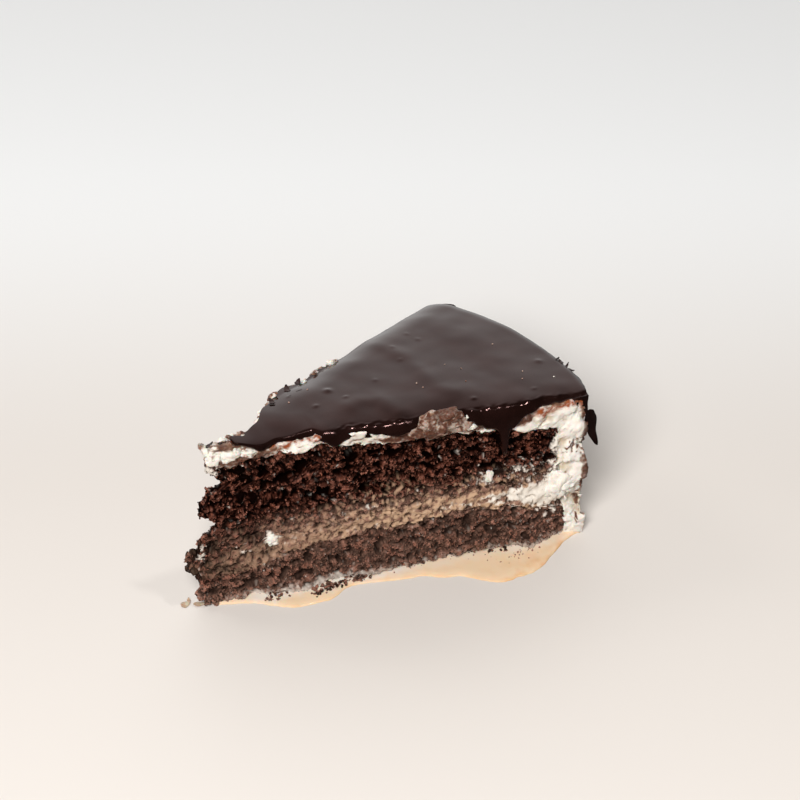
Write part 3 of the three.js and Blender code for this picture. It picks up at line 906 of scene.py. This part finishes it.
bubbles = [      # x, y, radius and height of each
    (50.4, 4.9, 1.5, 0.55), (52.7, -1.2, 0.8, 0.3), (42.4, -0.2, 0.9, 0.35), (39.1, 9.4, 0.7, 0.25),
    (92.3, 15.3, 0.8, 0.3), (91.6, 20.1, 0.7, 0.3), (82.4, 15.2, 0.8, 0.25), (79.7, 7.7, 0.7, 0.25),
    (115.1, -15.6, 1.1, 0.4), (84.7, -22.3, 0.8, 0.35), (103.6, -27.6, 0.7, 0.3), (66.0, 2.0, 0.8, 0.25),
]
folds = [        # soft ridges: points along each, half width and height
    ([(79.6, 20), (81.8, 12.6), (82.2, 6), (80.6, -3.1), (79.1, -11), (82, -16)], 3.0, 0.26),
    ([(51.2, -5.4), (55, -5.0), (60.3, -7.5), (61.5, -15)], 3.0, 0.34),
    ([(104, 17), (108, 8.2), (111, 1.0)], 5.0, 0.22),
    ([(66, 14), (62, 6), (58, 0), (50, -4)], 6.0, 0.34),
    ([(30, 5), (40, 4), (52, 8)], 6.0, 0.3),
]


def nearLine(points, x, y):
    best = 1e9
    for (x0, y0), (x1, y1) in zip(points, points[1:]):
        dx, dy = x1 - x0, y1 - y0
        share = min(1.0, max(0.0, ((x - x0) * dx + (y - y0) * dy) / (dx * dx + dy * dy)))
        best = min(best, math.hypot(x - x0 - share * dx, y - y0 - share * dy))
    return best


def outerHemAt(degrees):
    low = pour["outerHem"] + 1.2 * wave(degrees / 3, 0, 0, 1.0, 81)
    end = low
    for at, bottom, width in drips:
        half = math.degrees(0.5 * width / cake["coatRadius"])
        away = abs(degrees - at) / half
        neck = math.exp(-((away / 1.5) ** 4)) * 0.25
        bead = math.sqrt(max(0.0, 1 - away * away)) * 0.75
        end = min(end, low - (low - bottom) * (neck + bead))
    return end


def frontHemAt(reach):
    low = read(frontHem, reach) - 0.4 + (0.4 + 0.6 * ease((reach - 80) / 6)) * wave(reach, 0, 0, 2.2, 83)
    away = abs(reach - frontDrip["reach"]) / (0.5 * frontDrip["width"])
    neck = math.exp(-((away / 1.6) ** 4)) * 0.15 + math.sqrt(max(0.0, 1 - away * away)) * 0.85
    return low - (low - frontDrip["end"]) * min(1.0, neck)


def hemAt(x, y, across):
    reach = math.hypot(x, y)
    side = mix(frontHemAt(reach), read(backHem, reach), ease(across * 1.2 - 0.1))
    degrees = math.degrees(math.atan2(y, x))
    return mix(side, outerHemAt(degrees), ease((reach - 114) / 7))


def rounded(rise, over):       # a hem's quarter round, 0 at the hem and 1 from this height up
    share = min(1.0, max(0.0, rise / over))
    return math.sqrt(1 - (1 - share) ** 2)


def frontGlazeCut(reach, z):
    low = frontHemAt(reach)
    away = (reach - frontDrip["reach"]) / (0.62 * frontDrip["width"])
    bead = frontDrip["bead"] * math.exp(-away * away) * ease((50 - z) / 6)
    skin = read(frontSkin, reach) + bead
    return skin * rounded(z - low, pour["round"]) if skin > 0 else skin


def backGlazeCut(reach, z):
    return pour["backSkin"] * rounded(z - read(backHem, reach), 2.0) + 0.15 * wave(reach, 7, z, 7, 37)


def outerGlaze(y, z):
    degrees = math.degrees(math.asin(max(-1.0, min(1.0, y / cake["coatRadius"]))))
    thick = pour["outerSkin"]
    for at, bottom, width in drips:
        half = math.degrees(0.62 * width / cake["coatRadius"])
        thick += pour["bead"] * math.exp(-((degrees - at) / half) ** 2) * ease((46 - z) / 8)
    thick *= mix(0.35, 1.0, ease((degrees + 17.6) / 4))      # thin at the front corner
    return outerCream(y, z) + thick * rounded(z - outerHemAt(degrees), pour["round"])


def glazeTop(x, y):
    reach = math.hypot(x, y)
    z = read(heights["glaze"], reach) + 0.25 * swell(x, y) - fall(x, y, cake["coatRadius"] + 2)
    fromLip = max(0.0, x * sine + y * cosine + read(frontSkin, reach))
    near = 1 - min(1.0, fromLip / read(lipWidth, reach))
    z -= read(lipFall, reach) * near * near
    if fromLip < 6:
        line = math.exp(-((fromLip - read(glintAway, reach)) / 0.9) ** 2)
        z += read(glintRise, reach) * line * (wave(x, y, 0, 1.5, 89) + 0.5 * wave(x, y, 0, 0.8, 90))
    radius = read(lipRound, reach)
    if fromLip < radius:
        z -= radius - math.sqrt(fromLip * (2 * radius - fromLip))
    z += pour["ripple"] * wave(x, y * 1.6, 0, 16, 85) * 2 + pour["ripple"] * wave(x, y, 0, 6, 87)
    for points, width, rise in folds:
        away = nearLine(points, x, y) / width
        if away < 3:
            z += rise * math.exp(-away * away)
    for bx, by, radius, rise in bubbles:
        away = math.hypot(x - bx, y - by) / radius
        if away < 2.5:
            z += rise * math.exp(-away * away * 1.5)
    return z


def makeGlaze():
    bm = boxShell(240, 150, 22)
    for v in bm.verts:
        along, across, up = v.co
        across = max(0.0, across) ** pour["crowding"]
        z = 50.0
        for settle in range(2):
            x, y = place(along, across, z, cake["coatRadius"], frontGlazeCut, backGlazeCut, glazeTip, outerGlaze)
            top = glazeTop(x, y)
            least = mix(0.4, 3.0, ease((x - 90) / 18) * ease(y / 20))      # how thick it is at the back corner
            z = mix(min(hemAt(x, y, across), top - least), top, up) if up < 1 else top
        x, y = place(along, across, z, cake["coatRadius"], frontGlazeCut, backGlazeCut, glazeTip, outerGlaze)
        v.co = (x, y, z)
    soften(bm, 3)
    return setDown(bm, "poured_glaze", glaze, ["chocolate_glaze"])


makeGlaze()
print("glaze is poured")


# --- milk ---
pool = {"depth": 0.6, "inside": 7.0, "ends": (4, 121), "rimShare": 0.2}
milkFilm = [(8, 0.2), (20, 0.9), (58, 0.9), (70, 0.35), (90, 0.3), (104, 0.7), (121, 0.2)]
poolSpread = [
    (4, 0.6), (10, 1.8), (28, 9.6), (36, 9.2), (46, 4.4), (66, 6.6), (76, 10), (90, 17.6), (98, 16), (121, 0.8),
]


def poolSpot(reach, out):
    return reach * cosine - out * sine, -reach * sine - out * cosine


def makePool():
    bm = boxShell(240, 44, 3)
    layer = bm.verts.layers.float_color.new("pool")
    for v in bm.verts:
        along, across, up = v.co
        reach = mix(*pool["ends"], along)
        shore = read(poolSpread, reach) + 0.5 * wave(reach, 0, 0, 5, 91) + 0.25 * wave(reach, 0, 0, 1.8, 93)
        out = mix(shore, -pool["inside"], across)
        rim = min(1.0, across / pool["rimShare"])
        ends = min(1.0, along / 0.02, (1 - along) / 0.02)
        depth = pool["depth"] * math.sqrt(max(0.0, 1 - (1 - rim) ** 2)) * math.sqrt(max(0.0, ends * (2 - ends)))
        x, y = poolSpot(reach, out)
        rightward = mounds([(104, 0, 16, 1, 1.0)], reach, 0)
        ragged = wave(x, y, 0, 4, 95) + 0.5 * wave(x, y, 0, 1.6, 96)
        tint = 0.5 * ease(1 - (shore - out) / 1.6) + rightward * ease(1 - across / 0.5) * (0.45 + 0.8 * ragged)
        film = read(milkFilm, reach) * ease(1 - (out - 1 + 1.6 * ragged) / 6.5)
        v[layer] = (1 - across, min(1.0, max(0.0, tint + 0.15 * ragged)), film, 1)
        v.co = (x, y, 0.02 + up * (0.06 + depth))
    bm.normal_update()
    return setDown(bm, "milk_pool_dressed", milk, ["milk_pool"])


makePool()


def floating(count, reaches, outs, chance):
    spots = []
    for number in range(count):
        reach = chance.uniform(*reaches)
        out = mix(*outs, chance.random() ** 1.4) * read(poolSpread, reach)
        x, y = poolSpot(reach, out)
        spots.append((Vector((x, y, pool["depth"])), Vector((0, 0, 1))))
    return spots


def clustered(count, groups, reaches, outs, chance):       # crumbs that lie in groups
    middles = floating(groups, reaches, outs, chance)
    spots = []
    for number in range(count):
        middle, up = chance.choice(middles)
        spots.append((middle + Vector((chance.gauss(0, 1.3), chance.gauss(0, 0.9), chance.uniform(0, 0.5))), up))
    return spots


chance = random.Random(21)
afloat = floating(26, (60, 100), (0.0, 0.4), chance) + floating(12, (88, 106), (0.35, 0.6), chance)
afloat += floating(20, (97, 104), (0.30, 0.42), chance)
strew("floating_crumbs", afloat, (0.16, 0.40), crumb, "cut", lambda p: (0.8, 0.3, 0.0, 0.0), 14)
fallen = clustered(190, 15, (20, 54), (0.30, 0.62), chance) + clustered(110, 20, (50, 112), (-0.05, 0.14), chance)
strew("fallen_crumbs", fallen, (0.16, 0.75), crumb, "cut", lambda p: (0.3 + 0.7 * noise.cell(p), 0.6, 0, 0), 15)
print("milk is poured")

specks = [       # x and y of crumbs on the glaze, and how pale each is
    (89.4, -2.0, 0.3), (92.1, -6.7, 0.2), (109.1, -0.4, 0.3), (106.7, -18.2, 0.3), (113.1, -25.5, 1.0),
    (88.6, -13.5, 0.0), (75.4, -6.3, 0.3), (75.6, -9.1, 0.2), (103.8, -21.7, 0.2), (37, 6, 0.2), (46, 9, 0.1),
]


def speckShares(p):
    x, y, pale = min(specks, key=lambda spot: math.hypot(p.x - spot[0], p.y - spot[1]))
    return 0.9, 0.4, 0.4 * pale, pale


onGlaze = [(Vector((x, y, glazeTop(x, y))), Vector((0, 0, 1))) for x, y, pale in specks]
strew("glaze_specks", onGlaze, (0.26, 0.40), crumb, "cut", speckShares, 16)
print("specks lie on the glaze")


# --- flakes and shards ---
flakeKinds = {     # x, y, z of the middle, length, width, turn and tilt in degrees
    "toasted_flakes": [
        (-3.4, 4.2, 0.3, 3.4, 3.2, 10, 2), (0.8, 1.2, 0.3, 6.0, 2.0, -30, 3), (-1.6, 5.4, 0.3, 1.4, 1.2, 60, 0),
    ],
    "glaze_flakes": [
        (4.6, 0.4, 56.4, 3.8, 1.6, 25, -3), (8.0, -1.0, 56.6, 2.4, 1.0, -20, 4), (121.1, -19.0, 50.7, 2.4, 1.1, 80, 4),
        (121.6, -21.4, 50.3, 2.6, 1.0, 30, 10), (121.2, -24.0, 50.1, 2.4, 1.1, 100, -6),
        (121.0, -17.4, 50.9, 1.6, 0.8, 10, 8), (119.2, -37.0, 36.8, 12.0, 6.5, -74, -74),
        (41.0, 12.8, 55.5, 3.4, 2.2, 60, 8), (46.4, 14.4, 55.1, 3.0, 2.0, 40, 6), (33.0, 9.4, 55.9, 2.8, 1.8, 80, 6),
    ],
}


def makeFlakes(name, material, layerName, shares):
    bm = bmesh.new()
    for number, (x, y, z, length, width, turn, tilt) in enumerate(flakeKinds[name]):
        made = bmesh.ops.create_grid(bm, x_segments=14, y_segments=8, size=0.5)["verts"]
        put = Matrix.Translation((x, y, z)) @ Euler((0, math.radians(-tilt), math.radians(turn)), "XYZ").to_matrix().to_4x4()
        for v in made:
            along, side = 2 * v.co.x, 2 * v.co.y
            pointed = mix(1.15, 0.35, 0.5 * along + 0.5) * (1 + 0.4 * wave(along, side, number, 0.6, 3))
            thin = math.sqrt(max(0.01, 1 - abs(along) ** 2.4)) * pointed
            curl = 0.05 * along * along * length + 0.16 * wave(along, side, number, 0.9, 5)
            v.co = put @ Vector((0.5 * along * length, 0.5 * side * width * thin, curl))
    bmesh.ops.recalc_face_normals(bm, faces=bm.faces)
    bmesh.ops.solidify(bm, geom=bm.faces, thickness=0.22)
    layer = bm.verts.layers.float_color.new(layerName)
    for v in bm.verts:
        v[layer] = shares
        v.co.z = max(0.02, v.co.z)
    return setDown(bm, name, material, [])


makeFlakes("toasted_flakes", cream, "coat", (0.0, 0.0, 0.45, 1))
makeFlakes("glaze_flakes", glaze, "coat", (0, 0, 0, 1))
print("flakes are laid")
